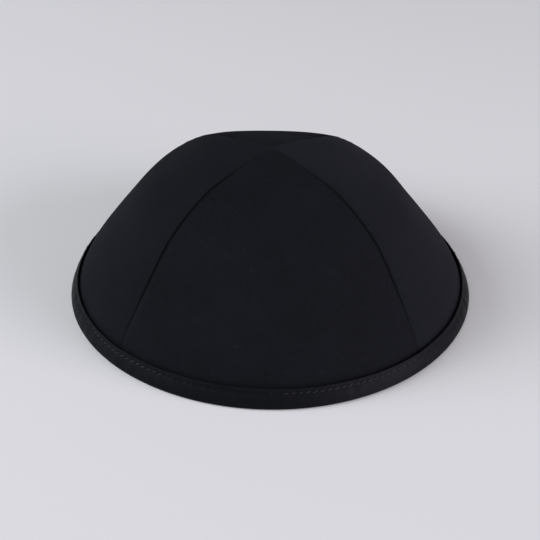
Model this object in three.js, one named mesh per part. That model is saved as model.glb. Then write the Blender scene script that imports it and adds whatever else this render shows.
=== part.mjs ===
// A four-panel cloth skullcap: four sewn crown panels and a folded binding round the rim.
// Millimetres, +Z up. The cap stands on its rim at z = 0, the middle of the rim is the origin,
// and the front panel faces -Y.

import * as THREE from "three";

// Whole cap
const rimDiameter = 160; // across the fold of the binding, its widest line
const crownHeight = 60; // from the floor to the top of the apex

// Crown panels
const clothThickness = 1.3;
const seamGap = 0.3; // between the turned-in edges of two neighbouring panels
const seamDip = 0.5; // how far an edge turns down into its seam
const seamRoll = 2.4; // width of the strip that turns down

// Rim binding, a strip of tape folded over the crown's lower edge
const bindingHeight = 7.1; // from the floor to its upper edges
const tapeThickness = 1;
const slotGap = 0.3; // between the tape and the crown cloth inside it
const foldRadius = 0.8; // of the two turns of the fold, outside, each side of its flat foot
const rimLean = 24; // degrees that the wall leans inwards from upright at the rim

// The outer line of a seam above the binding, one row for each section.
// radius is a share of the radius at the binding's upper edge, and height a share of the rise
// from there to the apex. flat says how straight a panel runs from seam to seam at that height:
// 0 follows the circle through the seams, and 1 the straight chord between them.
const crownSections = [
  { radius: 0.971, height: 0.084, flat: 0.01 },
  { radius: 0.913, height: 0.215, flat: 0.03 },
  { radius: 0.817, height: 0.422, flat: 0.1 },
  { radius: 0.694, height: 0.65, flat: 0.2 },
  { radius: 0.58, height: 0.781, flat: 0.45 },
  { radius: 0.428, height: 0.897, flat: 0.72 },
  { radius: 0.255, height: 0.953, flat: 0.88 },
  { radius: 0.103, height: 0.991, flat: 1 },
];

// Facets
const stepsPerSection = 3; // rows of facets from one section to the next
const hemSteps = 3; // rows of facets from the hem to the binding's upper edge
const fieldColumns = 9; // columns of facets between the two turned-in strips
const stripLineShare = 0.35; // place of the line of vertices in a strip, from its seam
const maxRollShare = 0.3; // widest that a strip gets, as a share of half the panel's width
const rimSegments = 80; // round the binding
const turnSteps = 3; // round each quarter of a turn of the fold
const edgeSteps = 3; // round each upper edge of the tape

const panelCount = 4;
const halfPanel = Math.PI / panelCount;

// Each panel is moved out by this much along its middle, which opens the gap in its seams.
const panelShift = seamGap / 2 / Math.sin(halfPanel);
const lean = THREE.MathUtils.degToRad(rimLean);

const slotHalf = clothThickness / 2 + slotGap;
const bindingHalf = slotHalf + tapeThickness;

// Where the middle of the wall meets the floor, so that the fold's outer turn is the widest line.
const wallFoot =
  rimDiameter / 2 -
  foldRadius * (1 - Math.tan(lean)) -
  (bindingHalf - foldRadius) / Math.cos(lean);

// A point of the straight wall at the rim: its distance outwards from the middle of the wall,
// square to it, and its height.
function wallPoint(across, height) {
  return new THREE.Vector2(
    wallFoot - height * Math.tan(lean) + across / Math.cos(lean),
    height,
  );
}

// The seam's outer line as a curve of (radius, height, flat), from the hem to the apex, with
// the wall in the middle of the slot once the panel is moved out.
function seamCurve() {
  const shift = new THREE.Vector2(panelShift, 0);
  const hemHeight = tapeThickness + slotGap + clothThickness * Math.sin(lean);
  const hem = wallPoint(clothThickness / 2, hemHeight).sub(shift);
  const bindingTop = wallPoint(clothThickness / 2, bindingHeight).sub(shift);
  const rise = crownHeight - bindingTop.y;
  const rows = crownSections.map(
    (row) =>
      new THREE.Vector3(row.radius * bindingTop.x, bindingTop.y + row.height * rise, row.flat),
  );
  const beforeApex = rows[rows.length - 1];
  const points = [
    new THREE.Vector3(hem.x, hem.y, 0),
    new THREE.Vector3(bindingTop.x, bindingTop.y, 0),
    ...rows,
    new THREE.Vector3(0, crownHeight, 1),
    // The same section beyond the apex, so that the crown is level at the apex.
    new THREE.Vector3(-beforeApex.x, beforeApex.y, beforeApex.z),
  ];
  const curve = new THREE.CatmullRomCurve3(points, false, "centripetal");
  const spans = points.length - 1;
  return (station) => curve.getPoint(station / spans);
}

const seamAt = seamCurve();
const apexStation = crownSections.length + 2;

// The stations of the rows of vertices: 0 is the hem, 1 the binding's upper edge.
const stations = [];
for (let i = 0; i < hemSteps; i += 1) {
  stations.push(i / hemSteps);
}
for (let i = 0; i < (apexStation - 1) * stepsPerSection; i += 1) {
  stations.push(1 + i / stepsPerSection);
}

// Polar radius and height of the outer surface, with no seam dip, at an azimuth from the
// middle of the panel.
function outerLine(station, azimuth) {
  const seam = seamAt(station);
  const chord = Math.cos(halfPanel) / Math.cos(azimuth);
  return new THREE.Vector2(seam.x * (1 - seam.z + seam.z * chord), seam.y);
}

// The outward normal of the outer line in its own upright plane.
function lineNormal(station, azimuth) {
  const step = 0.01;
  const before = outerLine(Math.max(station - step, 0), azimuth);
  const after = outerLine(station + step, azimuth);
  return new THREE.Vector2(after.y - before.y, before.x - after.x).normalize();
}

// How much further the inner surface lies along that normal than the cloth is thick, because
// the panel's surface turns away from the upright plane towards its seams.
function mitre(station, azimuth, normal) {
  const step = 0.001;
  const before = outerLine(station, azimuth - step).x;
  const after = outerLine(station, azimuth + step).x;
  const turn = (after - before) / (step * (before + after));
  return Math.hypot(1, normal.x * turn);
}

// Width of the strip that turns down into a seam, narrower where the panel itself is narrow.
function rollAt(seamRadius) {
  return Math.min(seamRoll, maxRollShare * seamRadius * Math.sin(halfPanel));
}

// Azimuths of the columns of vertices: a seam, a line in its strip, the strip's edge, then
// even steps over the field of the panel, and the same again at the other seam.
function columnAzimuths(seamRadius) {
  const azimuthAt = (distance) => halfPanel - Math.asin(distance / seamRadius);
  const inStrip = azimuthAt(rollAt(seamRadius) * stripLineShare);
  const stripEdge = azimuthAt(rollAt(seamRadius));
  const field = [];
  for (let i = 0; i <= fieldColumns; i += 1) {
    field.push(THREE.MathUtils.lerp(-stripEdge, stripEdge, i / fieldColumns));
  }
  return [-halfPanel, -inStrip, ...field, inStrip, halfPanel];
}

// How far the outer surface turns down at an azimuth: the whole dip at the seam, easing off
// to nothing at the strip's edge.
function dipAt(seamRadius, azimuth) {
  const distance = seamRadius * Math.sin(halfPanel - Math.abs(azimuth));
  const share = Math.max(0, 1 - distance / rollAt(seamRadius));
  return seamDip * share * share;
}

// One row of vertices on the outer or inner surface of a panel whose middle is at azimuth 0.
function panelRow(station, inside) {
  const seamRadius = seamAt(station).x;
  return columnAzimuths(seamRadius).map((azimuth) => {
    const line = outerLine(station, azimuth);
    const normal = lineNormal(station, azimuth);
    const depth = inside
      ? clothThickness * mitre(station, azimuth, normal)
      : dipAt(seamRadius, azimuth) * Math.min(1, station);
    line.addScaledVector(normal, -depth);
    return new THREE.Vector3(
      line.x * Math.cos(azimuth),
      line.x * Math.sin(azimuth),
      line.y,
    );
  });
}

// A closed solid from two stacks of rows that meet in a point each at the top.
function shellGeometry(outerRows, outerTip, innerRows, innerTip) {
  const positions = [];
  const faces = [];
  const addPoint = (point) => {
    positions.push(point.x, point.y, point.z);
    return positions.length / 3 - 1;
  };
  const outer = outerRows.map((row) => row.map(addPoint));
  const inner = innerRows.map((row) => row.map(addPoint));
  const outerTop = addPoint(outerTip);
  const innerTop = addPoint(innerTip);
  const quad = (a, b, c, d) => faces.push(a, b, c, a, c, d);
  const columns = outer[0].length - 1;
  const last = outer.length - 1;
  for (let i = 0; i < last; i += 1) {
    for (let j = 0; j < columns; j += 1) {
      quad(outer[i][j], outer[i][j + 1], outer[i + 1][j + 1], outer[i + 1][j]);
      quad(inner[i][j], inner[i + 1][j], inner[i + 1][j + 1], inner[i][j + 1]);
    }
    quad(outer[i][0], outer[i + 1][0], inner[i + 1][0], inner[i][0]);
    quad(outer[i][columns], inner[i][columns], inner[i + 1][columns], outer[i + 1][columns]);
  }
  for (let j = 0; j < columns; j += 1) {
    faces.push(outer[last][j], outer[last][j + 1], outerTop);
    faces.push(inner[last][j + 1], inner[last][j], innerTop);
    quad(outer[0][j + 1], outer[0][j], inner[0][j], inner[0][j + 1]);
  }
  quad(outer[last][0], outerTop, innerTop, inner[last][0]);
  quad(outer[last][columns], inner[last][columns], innerTop, outerTop);
  const geometry = new THREE.BufferGeometry();
  geometry.setAttribute("position", new THREE.Float32BufferAttribute(positions, 3));
  geometry.setIndex(faces);
  return geometry;
}

// One crown panel, with its middle on +X, moved out so that its two edges stop short of the
// seam planes by half the seam gap.
function panelGeometry() {
  const outerTip = new THREE.Vector3(0, 0, crownHeight);
  const innerTip = new THREE.Vector3(0, 0, crownHeight - clothThickness);
  const geometry = shellGeometry(
    stations.map((s) => panelRow(s, false)),
    outerTip,
    stations.map((s) => panelRow(s, true)),
    innerTip,
  );
  geometry.translate(panelShift, 0, 0);
  geometry.computeVertexNormals();
  return geometry;
}

// Points of an arc, at angles measured from straight outwards.
function arc(middle, radius, fromAngle, toAngle, steps) {
  const points = [];
  for (let i = 0; i <= steps; i += 1) {
    const angle = THREE.MathUtils.lerp(fromAngle, toAngle, i / steps);
    points.push(
      new THREE.Vector2(
        middle.x + radius * Math.cos(angle),
        middle.y + radius * Math.sin(angle),
      ),
    );
  }
  return points;
}

// The fold of tape. Its closed profile runs across the bottom of the slot, up over the inner
// leg's edge, down round the two turns with the flat foot between them, and over the outer
// leg's edge.
function bindingGeometry() {
  const edgeRadius = tapeThickness / 2;
  const edgeHeight = bindingHeight - edgeRadius;
  const innerEdge = wallPoint(-slotHalf - edgeRadius, edgeHeight);
  const outerEdge = wallPoint(slotHalf + edgeRadius, edgeHeight);
  const innerTurn = wallPoint(foldRadius - bindingHalf, foldRadius);
  const outerTurn = wallPoint(bindingHalf - foldRadius, foldRadius);
  const down = -Math.PI / 2;
  const profile = [
    wallPoint(slotHalf, tapeThickness),
    wallPoint(-slotHalf, tapeThickness),
    ...arc(innerEdge, edgeRadius, lean, lean + Math.PI, edgeSteps),
    ...arc(innerTurn, foldRadius, lean - Math.PI, down, turnSteps),
    ...arc(outerTurn, foldRadius, down, 0, turnSteps),
    ...arc(outerTurn, foldRadius, 0, lean, 1).slice(1),
    ...arc(outerEdge, edgeRadius, lean, lean + Math.PI, edgeSteps),
  ];
  profile.push(profile[0].clone());
  const geometry = new THREE.LatheGeometry(profile, rimSegments);
  geometry.rotateX(Math.PI / 2);
  return geometry;
}

const crownCloth = new THREE.MeshStandardMaterial({
  color: 0x1a1b21,
  roughness: 0.92,
  metalness: 0,
});
const bindingCloth = new THREE.MeshStandardMaterial({
  color: 0x17181e,
  roughness: 0.9,
  metalness: 0,
});

const kippah = new THREE.Group();

// The panels, from the front one anticlockwise as seen from above.
const panelNames = ["front_panel", "right_panel", "back_panel", "left_panel"];
const panel = panelGeometry();
panelNames.forEach((name, i) => {
  const mesh = new THREE.Mesh(panel.clone(), crownCloth.clone());
  mesh.name = name;
  mesh.rotation.z = (i - 1) * 2 * halfPanel;
  kippah.add(mesh);
});

const binding = new THREE.Mesh(bindingGeometry(), bindingCloth);
binding.name = "rim_binding";
kippah.add(binding);

export default kippah;
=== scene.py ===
"""A sewn cloth skullcap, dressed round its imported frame.

Four crown gores meet in soft valleys at the apex, and a folded strip of tape, held by a row of
stitches on each side, binds the rim. Every piece is a surface worked out with numpy. The shape
functions take and give millimetres, and new_piece turns them into metres.
"""

from types import SimpleNamespace

import bpy
import numpy as np
from bpy.props import FloatProperty, FloatVectorProperty, PointerProperty
from mathutils import Matrix, Vector


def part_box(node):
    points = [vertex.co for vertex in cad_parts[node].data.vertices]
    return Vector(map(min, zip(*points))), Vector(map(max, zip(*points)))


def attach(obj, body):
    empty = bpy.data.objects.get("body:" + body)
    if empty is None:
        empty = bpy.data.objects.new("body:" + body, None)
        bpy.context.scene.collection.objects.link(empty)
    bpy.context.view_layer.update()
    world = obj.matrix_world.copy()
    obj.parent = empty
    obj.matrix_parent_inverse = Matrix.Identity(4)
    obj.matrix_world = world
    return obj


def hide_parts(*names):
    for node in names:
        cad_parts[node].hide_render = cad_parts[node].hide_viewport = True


bl_info = {
    "name": "Sewn skullcap",
    "version": (1, 0, 0),
    "blender": (4, 5, 0),
    "location": "3D View > Sidebar > Skullcap",
    "description": "Makes a four-panel cloth skullcap with a stitched rim binding",
    "category": "Add Mesh",
}

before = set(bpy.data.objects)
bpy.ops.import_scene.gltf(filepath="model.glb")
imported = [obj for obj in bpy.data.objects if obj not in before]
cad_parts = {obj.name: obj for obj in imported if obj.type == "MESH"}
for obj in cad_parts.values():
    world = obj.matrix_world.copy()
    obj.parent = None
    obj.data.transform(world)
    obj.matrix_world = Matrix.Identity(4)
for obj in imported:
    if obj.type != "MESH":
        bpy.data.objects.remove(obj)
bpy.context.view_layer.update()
CROWN_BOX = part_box("front_panel")
BINDING_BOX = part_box("rim_binding")

MM = 0.001
CLOTH_MAP = "cloth_map"
HALF_GORE = np.pi / 4

# The outer line of a seam above the binding. radius is a share of the radius at the binding's
# upper edge and height a share of the rise from there to the apex. flat is 0 where a gore
# follows the circle through the seams and 1 where it runs straight from seam to seam.
CROWN_SECTIONS = (
    {"radius": 0.971, "height": 0.084, "flat": 0.01},
    {"radius": 0.913, "height": 0.215, "flat": 0.03},
    {"radius": 0.817, "height": 0.422, "flat": 0.1},
    {"radius": 0.694, "height": 0.65, "flat": 0.2},
    {"radius": 0.58, "height": 0.781, "flat": 0.45},
    {"radius": 0.428, "height": 0.897, "flat": 0.72},
    {"radius": 0.255, "height": 0.953, "flat": 0.88},
    {"radius": 0.103, "height": 0.991, "flat": 1.0},
)
APEX_STATION = len(CROWN_SECTIONS) + 2

# How the soft cap has settled unevenly, in millimetres: waves counts round the cap, rim and
# middle are the (cosine, sine) sizes at the rim and half way up.
SETTLED_OUT = (
    {"waves": 1, "rim": (-0.08, -0.03), "middle": (-0.21, 0.27)},
    {"waves": 2, "rim": (0.01, -0.17), "middle": (0.17, -0.29)},
    {"waves": 3, "rim": (0.46, 0.06), "middle": (-0.17, -0.28)},
    {"waves": 4, "rim": (0.04, 0.25), "middle": (-0.55, 0.07)},
)
SETTLED_ROUND = (
    {"waves": 0, "rim": (-0.88, 0.0), "middle": (0.17, 0.0)},
    {"waves": 1, "rim": (0.11, 0.54), "middle": (-0.39, -0.15)},
    {"waves": 2, "rim": (0.09, -0.17), "middle": (-0.04, 0.29)},
)
SETTLED_FROM = 20.0  # radius inside which the moves shrink

# The four gores: the azimuth of the middle of each, and the side on which its lower seam edge
# is lighter, partly wear and partly a painted highlight: -1, 1 or 0 for neither. Each is cut
# another way round from the cloth, so nap is its sheen's share of the cloth's. Its outer face is
# also painted lighter, painted light for the light that falls on that side, as a share of the way
# to twice the cloth's colour.
GORES = (
    {"side": "front", "turn": -90.0, "seed": 11, "wear_and_glint_side": -1, "painted_light": 0.0, "nap": 0.9},
    {"side": "right", "turn": 0.0, "seed": 12, "wear_and_glint_side": 0, "painted_light": 0.38, "nap": 1.35},
    {"side": "back", "turn": 90.0, "seed": 13, "wear_and_glint_side": 1, "painted_light": 0.03, "nap": 0.4},
    {"side": "left", "turn": 180.0, "seed": 14, "wear_and_glint_side": 0, "painted_light": 0.1, "nap": 1.15},
)


def length(name, description, millimetres):
    """A length property, given in millimetres and kept in metres."""
    return FloatProperty(
        name=name,
        description=description,
        default=millimetres * MM,
        min=0.0,
        subtype="DISTANCE",
        unit="LENGTH",
        precision=5,
    )


def colour(name, description, value):
    """A linear colour property."""
    return FloatVectorProperty(
        name=name, description=description, default=value, size=3, min=0.0, max=1.0, subtype="COLOR"
    )


def angle(name, description, degrees):
    """An angle property, given in degrees and kept in radians."""
    return FloatProperty(
        name=name, description=description, default=np.radians(degrees), subtype="ANGLE"
    )


class CrownSettings(bpy.types.PropertyGroup):
    """Sizes of the four crown gores."""

    rim_diameter: length("Rim diameter", "Across the fold of the binding", BINDING_BOX[1].x * 2 / MM)
    crown_height: length("Crown height", "From the floor to the apex", CROWN_BOX[1].z / MM)
    cloth_thickness: length("Cloth thickness", "Of the crown cloth with its backing", 1.3)
    seam_roll: length("Seam roll", "Radius of the edge that turns down into a seam", 0.75)
    seam_valley: length("Seam valley", "How far a seam pulls the cloth in beside it", 0.36)
    allowance_width: length("Allowance width", "Of each turned-in edge on the inside", 6.5)
    allowance_depth: length("Allowance depth", "How far the turned-in edges stand inwards", 0.9)
    softness: length("Softness", "Height of the slow waves in the cloth", 0.16)
    pucker: length("Pucker", "Height of the short ripples along a seam", 0.07)
    tuck: length("Tuck", "How far the cloth is drawn in where it enters the binding", 0.2)


class BindingSettings(bpy.types.PropertyGroup):
    """Sizes of the folded tape round the rim."""

    binding_height: length("Binding height", "Floor to upper edges", BINDING_BOX[1].z / MM)
    tape_thickness: length("Tape thickness", "Of the doubled tape", 1.0)
    slot_gap: length("Slot gap", "Between the tape and the crown inside it", 0.3)
    fold_radius: length("Fold radius", "Of the two turns beside the flat foot", 0.8)
    groove_depth: length("Stitch groove", "How far the stitches draw the tape in", 0.28)
    edge_flare: length("Edge flare", "How far the upper edge stands off at the sides", 0.1)
    edge_drop: length("Edge drop", "How far the outer edge has settled below its height", 0.3)
    edge_roll: length("Edge roll", "How far the face rolls in towards its upper edge", 0.26)
    body_swell: length("Body swell", "How far the tape swells below the stitches", 0.16)
    rim_lean: angle("Rim lean", "How far the wall leans inwards from upright", 24.0)


class ThreadSettings(bpy.types.PropertyGroup):
    """Sizes of the two rows of stitches."""

    stitch_pitch: length("Stitch pitch", "From one stitch to the next", 2.55)
    thread_diameter: length("Thread diameter", "Of one stitch's thread", 0.44)
    stitch_height: length("Stitch height", "Of the rows above the floor", 5.35)


class FinishSettings(bpy.types.PropertyGroup):
    """Colours of the cloth, the tape and the thread."""

    cloth_colour: colour("Cloth colour", "Of the crown", (0.0056, 0.0062, 0.008))
    tape_colour: colour("Tape colour", "Of the binding", (0.0031, 0.0035, 0.0048))
    thread_colour: colour("Thread colour", "Of the stitches", (0.0085, 0.009, 0.0115))
    sheen: FloatProperty(
        name="Sheen",
        description="Of the cloth's fine surface fibres",
        default=0.016,
        min=0.0,
        max=1.0,
        subtype="FACTOR",
    )


class StageSettings(bpy.types.PropertyGroup):
    """The floor, the light and the camera."""

    floor_colour: colour("Floor colour", "Of the plain pale floor", (0.7, 0.7, 0.7))
    room_light: FloatProperty(
        name="Room light", description="Even light from all round", default=0.17, min=0.0
    )
    side_power: FloatProperty(
        name="Side light", description="Of each softbox beside the cap", default=44.5, unit="POWER"
    )
    front_power: FloatProperty(
        name="Front light", description="Of the high softbox in front", default=38.0, unit="POWER"
    )
    eye: FloatVectorProperty(
        name="Eye",
        description="Place of the camera",
        default=(-0.00486, -0.34709, 0.23523),
        subtype="TRANSLATION",
        unit="LENGTH",
        precision=5,
    )
    look_turn: angle("Look turn", "Of the line of sight from +Y towards +X", 0.793)
    look_down: angle("Look down", "Of the line of sight below level", 33.58)
    look_roll: angle("Look roll", "About the line of sight", 0.982)
    lens: FloatProperty(
        name="Lens", description="Focal length on a 36 mm sensor", default=68.448, unit="CAMERA"
    )


GROUPS = {
    "skullcap_crown": CrownSettings,
    "skullcap_binding": BindingSettings,
    "skullcap_thread": ThreadSettings,
    "skullcap_finish": FinishSettings,
    "skullcap_stage": StageSettings,
}


def read_sizes(scene):
    """Every length of the settings in millimetres, with what follows from them."""
    sizes = SimpleNamespace()
    for group in ("skullcap_crown", "skullcap_binding", "skullcap_thread"):
        settings = getattr(scene, group)
        for name in GROUPS[group].__annotations__:
            setattr(sizes, name, getattr(settings, name) / MM)
    sizes.rim_lean = scene.skullcap_binding.rim_lean
    sizes.slot_half = sizes.cloth_thickness / 2 + sizes.slot_gap
    sizes.binding_half = sizes.slot_half + sizes.tape_thickness
    sizes.wall_foot = (
        sizes.rim_diameter / 2
        - sizes.fold_radius * (1 - np.tan(sizes.rim_lean))
        - (sizes.binding_half - sizes.fold_radius) / np.cos(sizes.rim_lean)
    )
    around = 2 * np.pi * wall_point(sizes, sizes.binding_half, sizes.stitch_height)[0]
    sizes.stitch_count = int(round(around / sizes.stitch_pitch))
    return sizes


def smooth(value, low, high):
    """0 up to low, 1 from high on, and between them the cubic 3t^2 - 2t^3."""
    t = np.clip((value - low) / (high - low), 0, 1)
    return t * t * (3 - 2 * t)


def bell(value, middle, width):
    """1 at the middle, falling off as exp(-x^2) in units of width."""
    return np.exp(-(((value - middle) / width) ** 2))


def curve_through(knots, stations):
    """The centripetal Catmull-Rom curve: on each span, the cubic through its two knots whose
    end slopes come from three knots each, spaced by the square roots of their distances."""
    padded = np.vstack([2 * knots[0] - knots[1], knots, 2 * knots[-1] - knots[-2]])
    steps = np.sqrt(np.linalg.norm(np.diff(padded, axis=0), axis=1))
    span = np.clip(np.floor(stations).astype(int), 0, len(knots) - 2)
    before, start, end, after = (padded[span + k] for k in range(4))
    gap_in, gap, gap_out = (steps[span + k][:, None] for k in range(3))
    leave = (
        (start - before) / gap_in - (end - before) / (gap_in + gap) + (end - start) / gap
    ) * gap
    arrive = (
        (end - start) / gap - (after - start) / (gap + gap_out) + (after - end) / gap_out
    ) * gap
    t = (stations - span)[:, None]
    cubic = 2 * (start - end) + leave + arrive
    square = 3 * (end - start) - 2 * leave - arrive
    return start + t * (leave + t * (square + t * cubic))


def wall_point(sizes, across, height):
    """A point of the leaning wall at the rim: radius and height, where across is the distance
    outwards from the middle of the wall, square to it."""
    radius = (
        sizes.wall_foot - height * np.tan(sizes.rim_lean) + across / np.cos(sizes.rim_lean)
    )
    return np.array([radius, height])


def seam_knots(sizes):
    """Knots of the seam's outer line as rows of radius, height and flat: the hem, the
    binding's upper edge, the crown sections, the apex and the last section mirrored."""
    hem_height = (
        sizes.tape_thickness + sizes.slot_gap + sizes.cloth_thickness * np.sin(sizes.rim_lean)
    )
    hem = wall_point(sizes, sizes.cloth_thickness / 2, hem_height)
    top = wall_point(sizes, sizes.cloth_thickness / 2, sizes.binding_height)
    rise = sizes.crown_height - top[1]
    sections = [
        (row["radius"] * top[0], top[1] + row["height"] * rise, row["flat"])
        for row in CROWN_SECTIONS
    ]
    last = sections[-1]
    return np.array(
        [
            (hem[0], hem[1], 0.0),
            (top[0], top[1], 0.0),
            *sections,
            (0.0, sizes.crown_height, 1.0),
            (-last[0], last[1], last[2]),
        ]
    )


LINE_SAMPLES = 4000


def even_stations(knots, rows):
    """Stations of rows spaced evenly along the seam line from the hem to just short of the
    apex, with the length of line up to each, and the whole length."""
    fine = np.linspace(0, APEX_STATION, LINE_SAMPLES)
    seam = curve_through(knots, fine)[:, :2]
    run = np.concatenate([[0], np.cumsum(np.linalg.norm(np.diff(seam, axis=0), axis=1))])
    wanted = np.linspace(0, run[-1], rows + 1)[:-1]
    return np.interp(wanted, run, fine), wanted, run[-1]


def waves(seed, count, shortest, longest, along, across):
    """A smooth uneven field between about -1 and 1: the sum of plane waves of random
    direction, length and phase, over two coordinates in millimetres."""
    rng = np.random.default_rng(seed)
    field = np.zeros(np.broadcast(along, across).shape)
    for _ in range(count):
        heading, phase = rng.uniform(0, 2 * np.pi, 2)
        number = 2 * np.pi / rng.uniform(shortest, longest)
        field += np.sin(number * (np.cos(heading) * along + np.sin(heading) * across) + phase)
    return field / np.sqrt(count)


def settled(points, crown_height):
    """The points moved as the soft cap has settled: out from the axis and round it by sums of
    waves over the azimuth. Each sum is a part that is whole at the rim and fades as (1 - t)^2,
    and a part that is whole half way up and fades as 4t(1 - t), where t is the height's share.
    Close to the axis the moves shrink with the radius."""
    x, y, z = points.T
    radius, azimuth = np.hypot(x, y), np.arctan2(y, x)
    share = np.clip(z / crown_height, 0, 1)
    rim, middle = (1 - share) ** 2, 4 * share * (1 - share)

    def move(rows):
        total = 0.0
        for row in rows:
            wave = np.cos(row["waves"] * azimuth), np.sin(row["waves"] * azimuth)
            total += rim * (row["rim"][0] * wave[0] + row["rim"][1] * wave[1])
            total += middle * (row["middle"][0] * wave[0] + row["middle"][1] * wave[1])
        return total * np.clip(radius / SETTLED_FROM, 0, 1)

    out, along = move(SETTLED_OUT), move(SETTLED_ROUND)
    cosine, sine = np.cos(azimuth), np.sin(azimuth)
    return np.stack([x + out * cosine - along * sine, y + out * sine + along * cosine, z], 1)


def grid_quads(rows, columns):
    """Corners, as (row, column) pairs, of the quads of a grid with that many steps each way,
    in the order that faces outwards where rows go up and columns go anticlockwise."""
    row, column = np.mgrid[0:rows, 0:columns]
    corner_rows = np.stack([row, row, row + 1, row + 1], -1).reshape(-1, 4)
    corner_columns = np.stack([column, column + 1, column + 1, column], -1).reshape(-1, 4)
    return corner_rows, corner_columns


def new_piece(name, points, faces, map_points, material, attributes=None, map_faces=None):
    """A smooth mesh object on the root body, from points that settle first. faces is a list of
    corner arrays, quads or triangles, and map_faces the same for the cloth map where its
    seams need other points."""
    mesh = bpy.data.meshes.new(name)
    points = settled(points, CROWN_BOX[1].z / MM)
    loops = np.concatenate([f.ravel() for f in faces])
    sides = np.concatenate([np.full(len(f), f.shape[1]) for f in faces])
    starts = np.concatenate([[0], np.cumsum(sides)[:-1]])
    mesh.vertices.add(len(points))
    mesh.vertices.foreach_set("co", (points * MM).astype(np.float32).ravel())
    mesh.loops.add(len(loops))
    mesh.loops.foreach_set("vertex_index", loops.astype(np.int32))
    mesh.polygons.add(len(sides))
    mesh.polygons.foreach_set("loop_start", starts.astype(np.int32))
    mesh.polygons.foreach_set("use_smooth", np.ones(len(sides), bool))
    mesh.update(calc_edges=True)
    if map_faces is not None:
        loops = np.concatenate([f.ravel() for f in map_faces])
    layer = mesh.uv_layers.new(name=CLOTH_MAP)
    layer.uv.foreach_set("vector", map_points[loops].astype(np.float32).ravel())
    for key, values in (attributes or {}).items():
        attribute = mesh.attributes.new(key, "FLOAT", "POINT")
        attribute.data.foreach_set("value", values.astype(np.float32).ravel())
    if mesh.validate():
        raise RuntimeError(f"{name} has faulty faces")
    piece = bpy.data.objects.new(name, mesh)
    bpy.context.scene.collection.objects.link(piece)
    mesh.materials.append(material)
    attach(piece, "root")
    return piece


# The crown's grid: steps along a gore, over its field, and round a seam's rolled edge, and the
# distances from the seam of the columns in its valley.
CROWN_ROWS = 150
FIELD_COLUMNS = 70
ROLL_STEPS = 7
VALLEY_LINES = (1.15, 1.5, 2.0, 2.7, 3.6, 4.8, 6.2, 7.4)
NARROW_HALF = 17.0  # half width of a gore below which its seam detail shrinks with it
GORE_SHIFT = 0.03  # how far each gore moves out, so that two gores never share a face
MAP_SHIFT = (37.0, 53.0)  # how far its cloth map moves for each step of its seed

# The crown's detail in millimetres. Pairs are where a smooth step starts and ends.
FIRM_HEIGHT = (8, 36)  # seams grow firm over this height
FIRM_RUN = (6, 34)  # and over this length of seam from the apex
FIRM_LEAST = (0.22, 0.18)  # how firm they are at the rim and at the apex
VALLEY_WIDTH = 3.2
PUCKER_LENGTH = 5.6
PUCKER_PLACE = 2.0
PUCKER_WIDTH = 2.2
CLOTH_WAVES = (22.0, 62.0)  # shortest and longest slow wave
ALLOWANCE_SLOPE = 0.7
INNER_ROLL = 0.6
WEAR_AND_GLINT_PLACE = 1.3  # from the seam to the middle of the lighter line beside it, wear with a painted highlight


def gore_columns(sizes, seam_radius):
    """Azimuths of the columns in each row, one row of them for each seam radius: close
    together round the rolled edge and in the valley beside it, even over the field."""
    turn = np.linspace(0, np.pi / 2, ROLL_STEPS)
    lines = np.concatenate([sizes.seam_roll * (1 - np.cos(turn)), np.array(VALLEY_LINES)])
    half = seam_radius * np.sin(HALF_GORE)
    shrink = np.minimum(1, half / NARROW_HALF)
    edge = HALF_GORE - np.arcsin(lines[None, :] * (shrink / seam_radius)[:, None])
    share = np.linspace(-1, 1, FIELD_COLUMNS + 1)[1:-1]
    field = edge[:, -1:] * share[None, :]
    return np.concatenate([-edge, field, edge[:, ::-1]], 1), shrink[:, None]


def quarter_round(distance, radius):
    """Depth of a quarter circle that turns down to the edge, at a distance from it."""
    share = np.clip(1 - distance / radius, 0, 1)
    return radius * (1 - np.sqrt(1 - share**2))


def gore_grid(sizes):
    """The plain outer surface of a gore with its middle on +X, as a grid: the radius, azimuth
    and height of its points, the outward normal in the upright plane of each, and where each
    lies on the cloth. A row is a station of the seam line (r, z, flat q). At azimuth a the
    surface is r(1 - q + q cos45/cos a) from the axis."""
    knots = seam_knots(sizes)
    stations, run, whole = even_stations(knots, CROWN_ROWS)
    seam = curve_through(knots, stations)
    step = 0.01
    below = curve_through(knots, np.maximum(stations - step, 0))
    above = curve_through(knots, stations + step)
    azimuth, shrink = gore_columns(sizes, seam[:, 0])
    chord = np.cos(HALF_GORE) / np.cos(azimuth)

    def polar(rows):
        flat = rows[:, 2:3]
        return rows[:, 0:1] * (1 - flat + flat * chord)

    radius = polar(seam)
    rise = above[:, 1:2] - below[:, 1:2]
    draw = polar(above) - polar(below)
    size = np.hypot(rise, draw)
    out, up = rise / size, -draw / size
    flat = seam[:, 2:3]
    bend = flat * chord * np.tan(azimuth) / (1 - flat + flat * chord)
    mitre = np.hypot(1, out * bend)

    height = seam[:, 1:2]
    to_seam = seam[:, 0:1] * np.sin(HALF_GORE - np.abs(azimuth))
    to_apex = whole - run[:, None]

    # Seams are softer near the binding and fade into the apex.
    at_rim, at_apex = FIRM_LEAST
    firm = at_rim + (1 - at_rim) * smooth(height, *FIRM_HEIGHT)
    firm = firm * (at_apex + (1 - at_apex) * smooth(to_apex, *FIRM_RUN))
    return SimpleNamespace(
        radius=radius,
        azimuth=azimuth,
        height=height,
        out=out,
        up=up,
        mitre=mitre,
        run=run[:, None],
        whole=whole,
        shrink=shrink,
        to_seam=to_seam,
        scaled=to_seam / shrink,
        width_place=radius * azimuth,
        above_binding=height - sizes.binding_height,
        to_apex=to_apex,
        firm=firm,
    )


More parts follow.
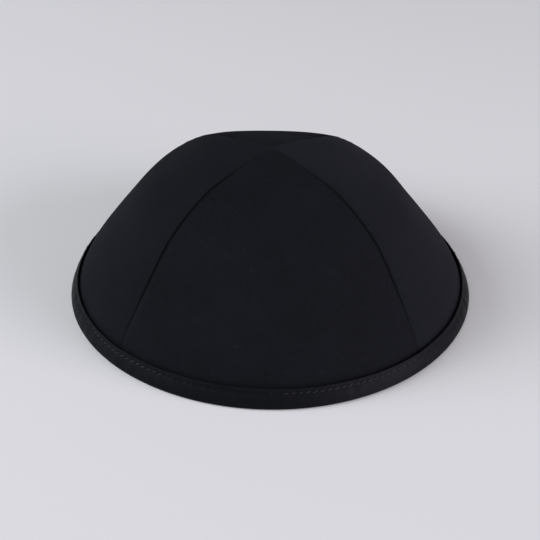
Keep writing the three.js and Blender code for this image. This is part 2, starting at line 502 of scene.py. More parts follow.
def cloth_depth(sizes, grid, seed):
    """How far in both surfaces of a gore lie together: a bell-shaped valley along each seam,
    sine ripples beside it, the tuck at the binding, and slow waves over the open cloth."""
    scaled, shrink, run = grid.scaled, grid.shrink, grid.run
    valley = sizes.seam_valley * grid.firm * shrink * bell(scaled, 0, VALLEY_WIDTH)
    valley = valley * smooth(grid.above_binding, 0, 4)
    uneven = 2.2 * np.sin(run / 9.0 + seed) + np.sign(grid.azimuth) * seed
    ripple = np.sin(2 * np.pi * run / PUCKER_LENGTH + uneven)
    puckers = sizes.pucker * ripple * bell(scaled, PUCKER_PLACE, PUCKER_WIDTH) * shrink
    puckers = puckers * smooth(grid.above_binding, 1, 6)
    drawn_in = sizes.tuck * smooth(-grid.above_binding, -5, 0)
    field = waves(seed, 7, *CLOTH_WAVES, run, grid.width_place)
    open_cloth = smooth(scaled, 1.5, 10) * smooth(grid.above_binding, 1, 14)
    soft = sizes.softness * field * (open_cloth * smooth(grid.to_apex, 3, 20))
    return valley + puckers + drawn_in + soft


def inner_depth(sizes, grid):
    """How far the inner surface lies inside the outer one: the cloth's thickness, more under
    the turned-in edge beside each seam, and less at the seam, where that edge is rounded."""
    allowance_from = sizes.allowance_width - ALLOWANCE_SLOPE
    allowance = 1 - smooth(grid.scaled, allowance_from, sizes.allowance_width)
    allowance = sizes.allowance_depth * allowance * smooth(grid.above_binding, 0.5, 5)
    inside_roll = 0.8 * quarter_round(grid.to_seam, INNER_ROLL * grid.shrink)
    return sizes.cloth_thickness * grid.mitre + allowance * grid.shrink - inside_roll


def gore_marks(grid, wear_and_glint_side):
    """How the outer surface is marked: lighter bells along the seams, partly wear and partly a
    painted highlight, one side of which may be lighter still, a painted highlight at the apex,
    and painted shade along the seams and where the cloth enters the binding."""
    # Lighter lines beside the seams: partly wear, partly a painted highlight.
    wear_and_glint = 0.4 * bell(grid.scaled, WEAR_AND_GLINT_PLACE, 0.7) * grid.firm
    wear_and_glint_stretch = bell(grid.height, 18, 7) * (np.sign(grid.azimuth) == wear_and_glint_side)
    wear_and_glint = wear_and_glint + 1.6 * bell(grid.scaled, WEAR_AND_GLINT_PLACE, 0.5) * wear_and_glint_stretch
    # Painted highlight: a lighter speck at the apex.
    wear_and_glint = wear_and_glint + bell(grid.to_apex, 0, 1.5)
    # Painted shade: darker along each seam and where the cloth enters the binding.
    painted_shade = bell(grid.scaled, 0, 1.1) * grid.firm + 0.7 * bell(grid.above_binding, -0.4, 0.8)
    return wear_and_glint, np.minimum(painted_shade, 1)


def moved_in(grid, depth):
    """The grid's points moved in by a depth along the normal in their own upright plane, so
    that each column stays in its plane and both gores of a seam meet."""
    r = grid.radius - depth * grid.out
    height = grid.height - depth * grid.up
    return np.stack([r * np.cos(grid.azimuth), r * np.sin(grid.azimuth), height], -1)


def gore_faces(rows, columns):
    """Corner indices of one gore's closed shell: the outer grid, then the inner one, then
    the two tips, joined along both seams and the hem and fanned to the tips."""
    index = np.arange(rows * columns).reshape(rows, columns)
    inside = index + rows * columns
    outer_tip = 2 * rows * columns
    inner_tip = outer_tip + 1
    corner_rows, corner_columns = grid_quads(rows - 1, columns - 1)
    outer = index[corner_rows, corner_columns]
    inner = inside[corner_rows, corner_columns][:, ::-1]
    right, left = index[:, 0], index[:, -1]
    right_in, left_in = inside[:, 0], inside[:, -1]
    walls = [
        np.stack([right[:-1], right[1:], right_in[1:], right_in[:-1]], 1),
        np.stack([left[:-1], left_in[:-1], left_in[1:], left[1:]], 1),
        np.stack([index[0, 1:], index[0, :-1], inside[0, :-1], inside[0, 1:]], 1),
        np.array([[right[-1], outer_tip, inner_tip, right_in[-1]]]),
        np.array([[left[-1], left_in[-1], inner_tip, outer_tip]]),
    ]
    fan = np.full(columns - 1, outer_tip)
    fan_in = np.full(columns - 1, inner_tip)
    fans = [
        np.stack([index[-1, :-1], index[-1, 1:], fan], 1),
        np.stack([inside[-1, 1:], inside[-1, :-1], fan_in], 1),
    ]
    return [outer, inner, *walls, *fans]


def make_gore(sizes, gore, material):
    """One gore as a closed shell, turned to its place. Its cloth map is in millimetres across
    and along the gore, moved by its seed so that no two gores have the same pattern."""
    grid = gore_grid(sizes)
    together = cloth_depth(sizes, grid, gore["seed"])
    rolled = quarter_round(grid.to_seam, sizes.seam_roll * grid.shrink) * grid.firm
    outer = moved_in(grid, together + rolled)
    inner = moved_in(grid, together + inner_depth(sizes, grid))
    tips = [(0, 0, sizes.crown_height), (0, 0, sizes.crown_height - sizes.cloth_thickness)]
    wear_and_glint, painted_shade = gore_marks(grid, gore["wear_and_glint_side"])
    rows, columns = grid.radius.shape
    points = np.concatenate([outer.reshape(-1, 3), inner.reshape(-1, 3), tips])
    points[:, 0] += GORE_SHIFT
    turn = np.radians(gore["turn"])
    spin = np.array(
        [[np.cos(turn), -np.sin(turn), 0], [np.sin(turn), np.cos(turn), 0], [0, 0, 1]]
    )
    flat_map = np.stack([grid.width_place, grid.run + 0 * grid.width_place], -1).reshape(-1, 2)
    map_points = np.concatenate([flat_map, flat_map, [(0, grid.whole)] * 2])
    map_points = map_points + gore["seed"] * np.array(MAP_SHIFT)
    none = np.zeros(rows * columns)
    # Painted marks on the outer face: wear with painted highlights, painted shade, and painted
    # light.
    attributes = {
        "wear_and_glint": np.concatenate([wear_and_glint.ravel(), none, [0, 0]]),
        "painted_shade": np.concatenate([painted_shade.ravel(), none, [0, 0]]),
        "painted_light": np.concatenate([none + gore["painted_light"], none, [gore["painted_light"], 0]]),
    }
    return new_piece(
        f"{gore['side']}_gore",
        points @ spin.T,
        gore_faces(rows, columns),
        map_points,
        material,
        attributes,
    )


STEPS_PER_STITCH = 5

# The tape's uneven fields: size in millimetres, and how many waves of each go round the rim.
WRINKLES = {"size": 0.055, "seed": 32, "least": 46, "most": 120, "count": 9}
SLOW_WAVES = {"size": 0.06, "seed": 33, "least": 7, "most": 26, "count": 5}
EDGE_WAVES = {"size": 0.05, "seed": 31, "least": 5, "most": 23, "count": 6}

# The tape's other detail in millimetres.
SEAM_STEP = 0.2  # how far it rides out over a crown seam
SEAM_REACH = 4.5
SWELL_HEIGHT = 2.7
SWELL_WIDTH = 1.7
GROOVE_WIDTH = 0.62
FREE_EDGE = 0.3  # how far below the stitches the tape starts to stand off the crown

# The stretch of the tape's outer face whose colour is painted lighter, a painted highlight, in
# degrees round the rim.
PAINTED_TAPE_HIGHLIGHT = {"azimuth": -60.0, "reach": 16.0, "painted_light": 1.0}

# Where the thread lies proud of the tape, in degrees: elsewhere it was drawn tight and sinks in.
PROUD_STRETCHES = (
    {"azimuth": -133.0, "reach": 11.0},
    {"azimuth": -66.0, "reach": 14.0},
    {"azimuth": 14.0, "reach": 16.0},
    {"azimuth": 74.0, "reach": 22.0},
    {"azimuth": 148.0, "reach": 18.0},
)


def arc(middle, radius, start, end, steps):
    """Points on an arc about middle from the start angle to the end angle, with the end."""
    turn = np.linspace(start, end, steps + 1)
    return middle + radius * np.stack([np.cos(turn), np.sin(turn)], 1)


def line(start, end, steps):
    """Points strictly between start and end, evenly spaced."""
    share = np.linspace(0, 1, steps + 1)[1:-1, None]
    return start + (end - start) * share


def fold_profile(sizes):
    """The closed section of the folded tape as rows of radius and height: across the bottom
    of the slot, up the inner leg and over its edge, down its face, round the two turns with
    the flat foot between them, up the outer leg and over its edge, and back down."""
    lean = sizes.rim_lean
    edge = sizes.tape_thickness / 2
    edge_height = sizes.binding_height - edge
    inner_edge = wall_point(sizes, -sizes.slot_half - edge, edge_height)
    outer_edge = wall_point(sizes, sizes.slot_half + edge, edge_height - sizes.edge_drop)
    inner_turn = wall_point(sizes, sizes.fold_radius - sizes.binding_half, sizes.fold_radius)
    outer_turn = wall_point(sizes, sizes.binding_half - sizes.fold_radius, sizes.fold_radius)
    slot_out = wall_point(sizes, sizes.slot_half, sizes.tape_thickness)
    slot_in = wall_point(sizes, -sizes.slot_half, sizes.tape_thickness)
    over_inner = arc(inner_edge, edge, lean, lean + np.pi, 8)
    round_in = arc(inner_turn, sizes.fold_radius, lean - np.pi, -np.pi / 2, 6)
    round_out = arc(outer_turn, sizes.fold_radius, -np.pi / 2, lean, 8)
    over_outer = arc(outer_edge, edge, lean, lean + np.pi, 8)
    return np.concatenate(
        [
            [slot_out, slot_in],
            line(slot_in, over_inner[0], 4),
            over_inner,
            line(over_inner[-1], round_in[0], 12),
            round_in,
            line(round_in[-1], round_out[0], 4),
            round_out,
            line(round_out[-1], over_outer[0], 14),
            over_outer,
            line(over_outer[-1], slot_out, 4),
        ]
    )


def side_share(sizes, across):
    """How far a point of the section is on the outer face, and the same for the inner."""
    near = sizes.slot_half + 0.55 * sizes.tape_thickness
    far = sizes.slot_half + 0.9 * sizes.tape_thickness
    return smooth(across, near, far), smooth(-across, near, far)


def rim_waves(row, azimuth, height):
    """An uneven field that closes round the rim: a row's count of waves, from its least to
    below its most of them round the rim, each slanting over the height, times its size."""
    rng = np.random.default_rng(row["seed"])
    field = np.zeros(np.broadcast(azimuth, height).shape)
    for _ in range(row["count"]):
        number = rng.integers(row["least"], row["most"])
        phase = rng.uniform(0, 2 * np.pi)
        slant = rng.uniform(-0.7, 0.7)
        field += np.sin(number * azimuth + slant * height + phase)
    return row["size"] * field / np.sqrt(row["count"])


def seam_share(azimuth, radius):
    """1 over a crown seam, falling off within a few millimetres round the rim."""
    quarter = np.pi / 2
    off = np.abs((azimuth + quarter / 2) % quarter - quarter / 2)
    off = np.abs(off - HALF_GORE)
    return bell(off * radius, 0, SEAM_REACH)


def edge_stand_off(sizes, azimuth):
    """How far the outer leg's upper edge stands off the crown: most at the two sides."""
    sideways = smooth(np.abs(np.cos(azimuth)), 0.35, 0.95)
    return sizes.edge_flare * (0.25 + 0.75 * sideways) + rim_waves(EDGE_WAVES, azimuth, 0.0)


def edge_share(sizes, height, outside):
    """How much of that a point takes: 0 up to just below the stitches, 1 at the edge."""
    return smooth(height, sizes.stitch_height - FREE_EDGE, sizes.binding_height) * outside


def stitch_draw(sizes, azimuth):
    """How hard the thread draws the tape in: most at the needle holes between stitches."""
    return 0.72 + 0.28 * np.cos(sizes.stitch_count * azimuth)


def proud_share(azimuth):
    """How far the thread stands out at an azimuth: the largest of a bell over each stretch."""
    away = [
        (np.degrees(azimuth) - row["azimuth"] + 180) % 360 - 180 for row in PROUD_STRETCHES
    ]
    bells = [bell(off, 0, row["reach"]) for off, row in zip(away, PROUD_STRETCHES)]
    return np.max(bells, axis=0)


def tape_shift(sizes, azimuth, across, height):
    """How far the folded tape stands out from its plain section: swollen below the stitches,
    drawn in along their row, with short slanting wrinkles and a little more over a seam."""
    outer, inner = side_share(sizes, across)
    face = outer + inner
    row = bell(height, sizes.stitch_height, GROOVE_WIDTH) * stitch_draw(sizes, azimuth)
    swell = sizes.body_swell * bell(height, SWELL_HEIGHT, SWELL_WIDTH)
    top = sizes.binding_height - sizes.edge_drop
    roll = sizes.edge_roll * smooth(height, top - 1.7, top) * outer
    uneven = rim_waves(WRINKLES, azimuth, height) + rim_waves(SLOW_WAVES, azimuth, height)
    uneven = uneven * smooth(height, 0.4, 2.2)
    over_seam = SEAM_STEP * seam_share(azimuth, sizes.rim_diameter / 2) * smooth(height, 0.6, 3)
    return face * (swell + uneven + over_seam - sizes.groove_depth * row) - roll


def tape_marks(sizes, azimuth, across, height):
    """How the tape's colour is marked: lighter by bells along its upper edges and its foot, partly
    wear and partly a painted highlight, painted shade in the slot and along the stitches, and
    painted light, a painted highlight, on one stretch of its face."""
    outer, inner = side_share(sizes, across)
    # Lighter along the upper edges and the foot: partly wear, partly a painted highlight.
    at_edge = 0.5 * bell(height, sizes.binding_height - 0.8, 0.45) + 0.6 * bell(height, 0.7, 0.7)
    wear_and_glint = (outer + inner) * at_edge + 0 * azimuth
    # Painted shade in the slot and along the row of stitches.
    in_slot = np.abs(across) < sizes.slot_half + 0.12
    groove = bell(height, sizes.stitch_height, 0.42) * (outer + inner) * 0.6
    painted_shade = np.maximum(in_slot * 1.0, groove) + 0 * azimuth
    # Painted highlight: one stretch of the outer face painted lighter.
    from_painted_highlight = np.abs(np.angle(np.exp(1j * (azimuth - np.radians(PAINTED_TAPE_HIGHLIGHT["azimuth"])))))
    painted_light = outer * PAINTED_TAPE_HIGHLIGHT["painted_light"] * bell(from_painted_highlight, 0, np.radians(PAINTED_TAPE_HIGHLIGHT["reach"]))
    return {"wear_and_glint": wear_and_glint, "painted_shade": painted_shade, "painted_light": painted_light}


def make_binding(sizes, material):
    """The folded tape: its section carried round the rim, closed both ways."""
    section = fold_profile(sizes)
    ahead, behind = np.roll(section, -1, 0), np.roll(section, 1, 0)
    tangent = ahead - behind
    tangent /= np.linalg.norm(tangent, axis=1)[:, None]
    out, up = tangent[:, 1:2], -tangent[:, 0:1]
    columns = sizes.stitch_count * STEPS_PER_STITCH
    azimuth = (np.arange(columns) / columns * 2 * np.pi)[None, :]
    radius, height = section[:, 0:1], section[:, 1:2]
    across = (radius - sizes.wall_foot + height * np.tan(sizes.rim_lean)) * np.cos(sizes.rim_lean)
    shift = tape_shift(sizes, azimuth, across, height)
    stand_off = edge_stand_off(sizes, azimuth) * edge_share(sizes, height, across > 0)
    r = radius + shift * out + stand_off * np.cos(sizes.rim_lean)
    z = height + shift * up + stand_off * np.sin(sizes.rim_lean)
    points = np.stack([r * np.cos(azimuth), r * np.sin(azimuth), z], -1)
    rows = len(section)
    corner_rows, corner_columns = grid_quads(rows, columns)
    faces = (corner_rows % rows) * columns + corner_columns % columns
    around = np.concatenate([[0], np.cumsum(np.linalg.norm(ahead - section, axis=1))])
    length_round = 2 * np.pi * sizes.wall_foot
    place = np.arange(columns + 1) / columns * length_round
    map_points = np.stack(np.broadcast_arrays(place[None, :], around[:, None]), -1)
    map_faces = corner_rows * (columns + 1) + corner_columns
    return new_piece(
        "folded_binding",
        points.reshape(-1, 3),
        [faces],
        map_points.reshape(-1, 2),
        material,
        tape_marks(sizes, azimuth, across, height),
        [map_faces],
    )


STITCH_RINGS = 7
STITCH_SIDES = 6
STITCH_REACH = 0.43  # half length of a stitch, as a share of the pitch
STITCH_SLANT = 0.3
STITCH_SEEDS = {1: 41, -1: 42}


def make_stitches(sizes, name, side, material):
    """One row of stitches as one mesh. A stitch is a round thread that rises out of the
    tape, runs slightly aslant along the rim, and sinks back at the next needle hole. Its
    middle line and thickness are functions of its length, the same for every stitch apart
    from small seeded differences. side is 1 on the outer face and -1 on the inner one."""
    rng = np.random.default_rng(STITCH_SEEDS[side])
    count = sizes.stitch_count
    pitch = 2 * np.pi / count
    share = np.linspace(-1, 1, STITCH_RINGS)[None, :]
    number = np.arange(count)[:, None]
    lift_change, slant_change, place_change = rng.normal(0, 1, (3, count, 1))
    azimuth = (number + 0.5 + STITCH_REACH * share + 0.02 * place_change) * pitch
    slant = (STITCH_SLANT + 0.06 * slant_change) * side
    height = sizes.stitch_height + slant * share + 0.03 * place_change
    half = sizes.thread_diameter / 2
    on_face = tape_shift(sizes, azimuth, side * sizes.binding_half, height)
    proud = proud_share(azimuth)
    arch = half * (1.6 * proud - 0.95 - 1.3 * share**4) + 0.02 * lift_change
    across = side * (sizes.binding_half + on_face + arch)
    across = across + edge_stand_off(sizes, azimuth) * edge_share(sizes, height, side > 0)
    lean = sizes.rim_lean
    r = sizes.wall_foot - height * np.tan(lean) + across / np.cos(lean)
    thickness = half * np.sqrt(np.clip(1 - 0.75 * share**4, 0, 1))
    turn = (np.arange(STITCH_SIDES) / STITCH_SIDES * 2 * np.pi)[None, None, :]
    out = (thickness[..., None] * np.cos(turn)) * 0.85
    up = thickness[..., None] * np.sin(turn)
    ring_r = r[..., None] + out * np.cos(lean) - up * np.sin(lean)
    ring_z = height[..., None] + out * np.sin(lean) + up * np.cos(lean)
    place = azimuth[..., None]
    rings = np.stack([ring_r * np.cos(place), ring_r * np.sin(place), ring_z], -1)
    stitch_size = STITCH_RINGS * STITCH_SIDES
    corner_rows, corner_columns = grid_quads(STITCH_RINGS - 1, STITCH_SIDES)
    one = corner_rows * STITCH_SIDES + corner_columns % STITCH_SIDES
    tube = (one[None] + (np.arange(count) * stitch_size)[:, None, None]).reshape(-1, 4)
    first = np.arange(STITCH_SIDES)
    caps = np.array([first, (STITCH_RINGS - 1) * STITCH_SIDES + first[::-1]])
    caps = (caps[None] + (np.arange(count) * stitch_size)[:, None, None]).reshape(-1, STITCH_SIDES)
    along = sizes.stitch_pitch * (number + STITCH_REACH * share)[..., None] + 0 * turn
    around = turn / (2 * np.pi) + 0 * along
    map_points = np.stack([along, around], -1)
    return new_piece(
        name,
        rings.reshape(-1, 3),
        [tube[:, ::-1], caps[:, ::-1]],
        map_points.reshape(-1, 2),
        material,
    )


class Wire:
    """One output of a shader node. Arithmetic on it adds Math nodes."""

    def __init__(self, finish, socket):
        self.finish = finish
        self.socket = socket

    def math(self, operation, *values):
        """A Math node of that operation on the values."""
        return self.finish.node(
            "ShaderNodeMath", {"operation": operation}, dict(enumerate(values))
        )

    def __add__(self, other):
        return self.math("ADD", self, other)

    def __radd__(self, other):
        return self.math("ADD", other, self)

    def __sub__(self, other):
        return self.math("SUBTRACT", self, other)

    def __rsub__(self, other):
        return self.math("SUBTRACT", other, self)

    def __mul__(self, other):
        return self.math("MULTIPLY", self, other)

    def __rmul__(self, other):
        return self.math("MULTIPLY", other, self)

    def __abs__(self):
        return self.math("ABSOLUTE", self)

    def sine(self):
        """Its sine, of an angle in radians."""
        return self.math("SINE", self)

    def between(self, low, high):
        """A smooth step from 0 at low to 1 at high."""
        return self.finish.node(
            "ShaderNodeMapRange",
            {"interpolation_type": "SMOOTHSTEP"},
            {"Value": self, "From Min": low, "From Max": high},
        )


class Finish:
    """A material and its nodes."""

    def __init__(self, name):
        self.material = bpy.data.materials.new(name)
        self.material.use_nodes = True
        self.tree = self.material.node_tree
        self.tree.nodes.clear()

    def node(self, kind, settings=None, sockets=None, output=0):
        """Adds a node of that type, sets its settings and then the values or links of its
        sockets, and gives one of its outputs, if it has any."""
        made = self.tree.nodes.new(kind)
        for name, value in (settings or {}).items():
            setattr(made, name, value)
        for name, value in (sockets or {}).items():
            if isinstance(value, Wire):
                self.tree.links.new(value.socket, made.inputs[name])
            else:
                made.inputs[name].default_value = value
        return Wire(self, made.outputs[output]) if made.outputs else None

    def noise(self, place, scale, detail=2.0, rough=0.5):
        """Noise between about 0 and 1, with scale features to each unit of the place."""
        return self.node(
            "ShaderNodeTexNoise",
            {"noise_dimensions": "3D"},
            {"Vector": place, "Scale": scale, "Detail": detail, "Roughness": rough},
        )

    def split(self, place):
        """The two coordinates of a place on the cloth map."""
        first = self.node("ShaderNodeSeparateXYZ", None, {0: place})
        return first, Wire(self, first.socket.node.outputs[1])

    def stretched(self, place, across, along):
        """A place with its two coordinates multiplied."""
        sockets = {"Vector": place, "Scale": (across, along, 1.0)}
        return self.node("ShaderNodeMapping", None, sockets)

    def bump(self, height, rise, strength):
        """The normal over a height, whose step from 0 to 1 is a rise in millimetres."""
        sockets = {"Strength": strength, "Distance": rise * MM, "Height": height}
        return self.node("ShaderNodeBump", None, sockets)

    def attribute(self, name):
        """A float attribute of the mesh."""
        return self.node("ShaderNodeAttribute", {"attribute_name": name}, output=2)

    def blend(self, share, first, second):
        """A colour between two, by a share from 0 to 1."""
        settings = {"data_type": "RGBA", "clamp_factor": True}
        return self.node("ShaderNodeMix", settings, {0: share, 6: first, 7: second}, output=2)

    def surface(self, sockets):
        """The shader with those sockets, joined to the output."""
        shader = self.node("ShaderNodeBsdfPrincipled", None, sockets)
        self.node("ShaderNodeOutputMaterial", None, {"Surface": shader})
        return self.material


def rgba(value, factor=1.0):
    """A colour with its alpha, made lighter or darker by a factor."""
    return (*(min(1.0, channel * factor) for channel in value), 1.0)


def woven(across, along, pitch):
    """Height of a plain weave between about 0 and 1: round threads both ways, of which the
    one or the other lies on top in alternate cells."""
    first = (across * (np.pi / pitch)).sine()
    second = (along * (np.pi / pitch)).sine()
    on_top = (first * second).between(-0.35, 0.35)
    return abs(first) * (0.35 + 0.65 * on_top) + abs(second) * (1.0 - 0.65 * on_top)


# How much lighter or darker than its base colour the cloth is where each of these is whole.
# The third is painted light, the fifth wear with a painted highlight, the last painted shade.
DARK, LIGHT, PAINTED_LIGHT_TONE, LINT, WEAR_AND_GLINT_TONE, PAINTED_SHADE_TONE = 0.62, 1.42, 2.0, 4.5, 2.2, 0.25
PLY_LENGTH = 0.42  # millimetres of thread in one turn of its plies


def cloth_finish(name, base, sheen, pitch, bias, shine, rough_low):
    """Woven cloth: a fine weave with uneven threads, whose gaps are painted darker and crests
    lighter as painted shade and light, slow mottling, a few specks of lint, painted shade in
    creases and recesses, and edges lighter, partly wear and partly a painted highlight. pitch is
    the weave's in millimetres, bias turns it across the strip, shine is the strength of its
    highlights, and rough_low its least roughness. Where the attribute of painted light is 1, the
    colour is twice the base."""
    finish = Finish(name)
    place = finish.node("ShaderNodeUVMap", {"uv_map": CLOTH_MAP})
    turned = finish.node(
        "ShaderNodeMapping",
        {"vector_type": "POINT"},
        {"Vector": place, "Rotation": (0.0, 0.0, bias)},
    )
    across, along = finish.split(turned)
    drift = finish.noise(turned, 0.18)
    weave = woven(across + 0.5 * drift, along + 0.5 * drift, pitch)
    slubs = finish.noise(finish.stretched(turned, 0.06, 2.6), 1.0)
    slubs = slubs + finish.noise(finish.stretched(turned, 2.6, 0.06), 1.0)
    mottle = finish.noise(place, 0.045, 3.0, 0.6)
    patch = finish.noise(place, 0.35, 3.0, 0.6)
    fuzz = finish.noise(place, 3.2, 2.0, 0.7)
    # The weave's share paints the gaps between threads darker and the crests lighter: painted shade
    # and light.
    shade = 0.4 * mottle + 0.18 * patch + 0.12 * slubs + 0.1 * fuzz + 0.26 * weave
    tone = finish.blend(shade.between(0.3, 0.95), rgba(base, DARK), rgba(base, LIGHT))
    # Painted light: the outer face lighter where the attribute says, for the light that falls there.
    tone = finish.blend(finish.attribute("painted_light"), tone, rgba(base, PAINTED_LIGHT_TONE))
    fibres = finish.stretched(place, 0.5, 1.1)
    lint = finish.noise(fibres, 1.3, 2.0, 0.6).between(0.63, 0.7) * patch.between(0.5, 0.6)
    tone = finish.blend(lint * 0.5, tone, rgba(base, LINT))
    # Lighter where worn, with painted highlights along edges and at the apex.
    wear_and_glint = finish.attribute("wear_and_glint") * (0.35 + 0.65 * patch)
    tone = finish.blend(wear_and_glint * 0.4, tone, rgba(base, WEAR_AND_GLINT_TONE))
    # Painted shade in creases, seams and recesses.
    painted_shade = finish.attribute("painted_shade")
    tone = finish.blend(painted_shade * 0.5, tone, rgba(base, PAINTED_SHADE_TONE))
    rough = (rough_low + 0.14 * mottle) + 0.08 * (fuzz - wear_and_glint * 0.6)
    relief = weave * 0.6 + fuzz * 0.5 + slubs * 0.3
    return finish.surface(
        {
            "Base Color": tone,
            "Roughness": rough,
            "Normal": finish.bump(relief, rise=0.12, strength=0.6),
            "IOR": 1.45,
            "Specular IOR Level": shine,
            "Sheen Weight": sheen,
            "Sheen Roughness": 0.42,
            "Sheen Tint": (0.78, 0.8, 1.0, 1.0),
        }
    )


def thread_finish(name, base):
    """Twisted sewing thread: plies that wind round it, painted lighter on their crests and darker
    between them, as painted highlight and painted shade.
    """
    finish = Finish(name)
    place = finish.node("ShaderNodeUVMap", {"uv_map": CLOTH_MAP})
    along, around = finish.split(place)
    ply = (along * (2 * np.pi / PLY_LENGTH) + around * (2 * np.pi)).sine().between(-1.0, 1.0)
    uneven = finish.noise(place, 0.8)
    # Painted highlight on the ply crests and painted shade between them.
    tone = finish.blend(0.6 * ply + 0.4 * uneven, rgba(base, 0.6), rgba(base, 1.5))
    return finish.surface(
        {
            "Base Color": tone,
            "Roughness": 0.36 + 0.2 * uneven,
            "Normal": finish.bump(ply, rise=0.05, strength=0.8),
            "Specular IOR Level": 0.3,
            "Sheen Weight": 0.01,
        }
    )


def floor_finish(name, base):
    """Plain pale board with a very slight unevenness."""
    finish = Finish(name)
    place = finish.node("ShaderNodeTexCoord", None, None, 3)
    cloud = finish.noise(place, 3.0, 3.0)
    tone = finish.blend(cloud, rgba(base, 0.985), rgba(base, 1.01))
    return finish.surface(
        {"Base Color": tone, "Roughness": 0.85 + 0.08 * cloud, "Specular IOR Level": 0.2}
    )


FLOOR_HALF = 8000.0
FLOOR_HEIGHT = -0.15

# The soft lights: place and size in metres, share of the power that the settings give, and tint.
SOFTBOXES = {
    "side_power": (
        {
            "name": "left_softbox",
            "place": (-1.8, -0.2, 1.1),
            "size": (1.5, 1.3),
            "share": 0.92,
            "tint": (0.9, 0.92, 1.0),
        },
        {
            "name": "right_softbox",
            "place": (1.8, -0.8, 0.6),
            "size": (1.5, 1.1),
            "share": 0.9,
            "tint": (0.98, 0.9, 1.0),
        },
    ),
    "front_power": (
        {
            "name": "front_softbox",
            "place": (-0.8, -2.4, 2.4),
            "size": (3.0, 2.2),
            "share": 1.0,
            "tint": (0.95, 0.99, 1.0),
        },
    ),
}
LIT_POINT = Vector((0.0, 0.0, 0.03))


def make_floor(settings):
    """A level square sheet just under the cap's foot."""
    points = np.array([(-1, -1), (1, -1), (1, 1), (-1, 1)]) * FLOOR_HALF
    points = np.column_stack([points, np.full(4, FLOOR_HEIGHT)])
    material = floor_finish("pale_floor", settings.floor_colour)
    mesh = bpy.data.meshes.new("studio_floor")
    mesh.from_pydata((points * MM).tolist(), [], [(0, 1, 2, 3)])
    mesh.update()
    mesh.materials.append(material)
    floor = bpy.data.objects.new("studio_floor", mesh)
    bpy.context.scene.collection.objects.link(floor)


def make_softbox(row, power):
    """A rectangular area light at a row's place, facing the middle of the cap."""
    light = bpy.data.lights.new(row["name"], "AREA")
    light.shape = "RECTANGLE"
    light.size, light.size_y = row["size"]
    light.energy = power * row["share"]
    light.color = row["tint"]
    box = bpy.data.objects.new(row["name"], light)
    bpy.context.scene.collection.objects.link(box)
    towards = LIT_POINT - Vector(row["place"])
    turn = towards.to_track_quat("-Z", "Y").to_matrix().to_4x4()
    box.matrix_world = Matrix.Translation(row["place"]) @ turn


def make_camera(settings):
    """The camera at the fitted place, turned by its three angles."""
    turn, down, roll = settings.look_turn, settings.look_down, settings.look_roll
    ahead = Vector((np.sin(turn) * np.cos(down), np.cos(turn) * np.cos(down), -np.sin(down)))
    level = Vector((np.cos(turn), -np.sin(turn), 0))
    upright = level.cross(ahead)
    right = level * np.cos(roll) + upright * np.sin(roll)
    up = upright * np.cos(roll) - level * np.sin(roll)
    data = bpy.data.cameras.new("studio_camera")
    data.sensor_fit = "HORIZONTAL"
    data.sensor_width = 36.0
    data.lens = settings.lens
    data.clip_start = 0.01
    data.clip_end = 20.0
    camera = bpy.data.objects.new("studio_camera", data)
    bpy.context.scene.collection.objects.link(camera)
    axes = Matrix((right, up, -ahead)).transposed().to_4x4()
    camera.matrix_world = Matrix.Translation(settings.eye) @ axes
    bpy.context.scene.camera = camera


def make_room(strength):
    """An even pale light from all round."""
    world = bpy.data.worlds.new("studio_room")
    world.use_nodes = True
    background = world.node_tree.nodes["Background"]
    background.inputs["Color"].default_value = (1.0, 1.0, 1.0, 1.0)
    background.inputs["Strength"].default_value = strength
    bpy.context.scene.world = world


class SKULLCAP_OT_crown(bpy.types.Operator):
    """Make the four crown gores in place of the plain panels"""

    bl_idname = "skullcap.crown"
    bl_label = "Crown gores"
    bl_options = {"REGISTER", "UNDO"}

    def execute(self, context):
        sizes = read_sizes(context.scene)
        finish = context.scene.skullcap_finish
        for gore in GORES:
            cloth = cloth_finish(
                f"{gore['side']}_cloth",
                finish.cloth_colour,
                finish.sheen * gore["nap"],
                pitch=0.4,
                bias=0.0,
                shine=0.05,
                rough_low=0.78,
            )
            piece = make_gore(sizes, gore, cloth)
            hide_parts(f"{gore['side']}_panel")
        return {"FINISHED"}


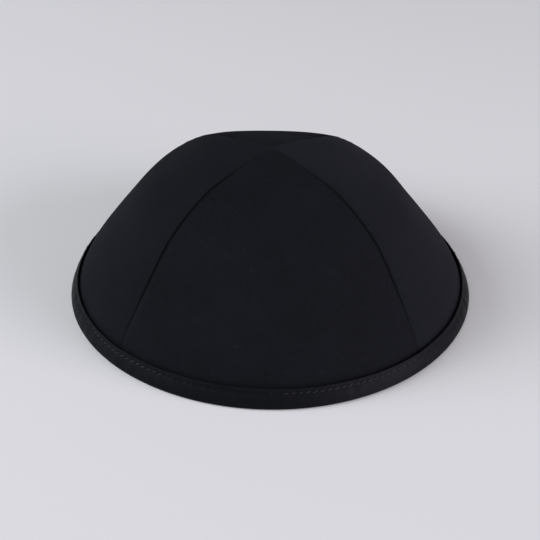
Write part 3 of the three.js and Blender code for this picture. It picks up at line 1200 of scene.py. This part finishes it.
class SKULLCAP_OT_binding(bpy.types.Operator):
    """Make the folded tape round the rim and the two rows of stitches that hold it"""

    bl_idname = "skullcap.binding"
    bl_label = "Rim binding and stitches"
    bl_options = {"REGISTER", "UNDO"}

    def execute(self, context):
        sizes = read_sizes(context.scene)
        finish = context.scene.skullcap_finish
        tape = cloth_finish(
            "binding_tape",
            finish.tape_colour,
            sheen=0.0,
            pitch=0.46,
            bias=np.pi / 4,
            shine=0.06,
            rough_low=0.34,
        )
        thread = thread_finish("sewing_thread", finish.thread_colour)
        binding = make_binding(sizes, tape)
        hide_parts("rim_binding")
        outer = make_stitches(sizes, "outer_stitches", 1, thread)
        inner = make_stitches(sizes, "inner_stitches", -1, thread)
        return {"FINISHED"}


class SKULLCAP_OT_stage(bpy.types.Operator):
    """Make the pale floor, the soft light and the camera"""

    bl_idname = "skullcap.stage"
    bl_label = "Floor, light and camera"
    bl_options = {"REGISTER", "UNDO"}

    def execute(self, context):
        settings = context.scene.skullcap_stage
        make_floor(settings)
        make_room(settings.room_light)
        for setting, rows in SOFTBOXES.items():
            for row in rows:
                make_softbox(row, getattr(settings, setting))
        make_camera(settings)
        context.scene.view_settings.view_transform = "Standard"
        return {"FINISHED"}


class SKULLCAP_PT_sidebar(bpy.types.Panel):
    """Lists the skullcap's settings and operators"""

    bl_idname = "SKULLCAP_PT_sidebar"
    bl_label = "Skullcap"
    bl_space_type = "VIEW_3D"
    bl_region_type = "UI"
    bl_category = "Skullcap"

    def draw(self, context):
        for group, settings in GROUPS.items():
            box = self.layout.box()
            for name in settings.__annotations__:
                box.prop(getattr(context.scene, group), name)
        for operator in OPERATORS:
            self.layout.operator(operator.bl_idname)


OPERATORS = (SKULLCAP_OT_crown, SKULLCAP_OT_binding, SKULLCAP_OT_stage)
CLASSES = (*GROUPS.values(), *OPERATORS, SKULLCAP_PT_sidebar)


def register():
    """Registers the classes and puts the settings on the scene."""
    for item in CLASSES:
        bpy.utils.register_class(item)
    for name, settings in GROUPS.items():
        setattr(bpy.types.Scene, name, PointerProperty(type=settings))


def unregister():
    """Takes the settings off the scene and removes the classes."""
    for name in GROUPS:
        delattr(bpy.types.Scene, name)
    for item in reversed(CLASSES):
        bpy.utils.unregister_class(item)


def main():
    """Makes every piece and the stage."""
    register()
    bpy.ops.skullcap.crown()
    bpy.ops.skullcap.binding()
    bpy.ops.skullcap.stage()


if __name__ == "__main__":
    main()
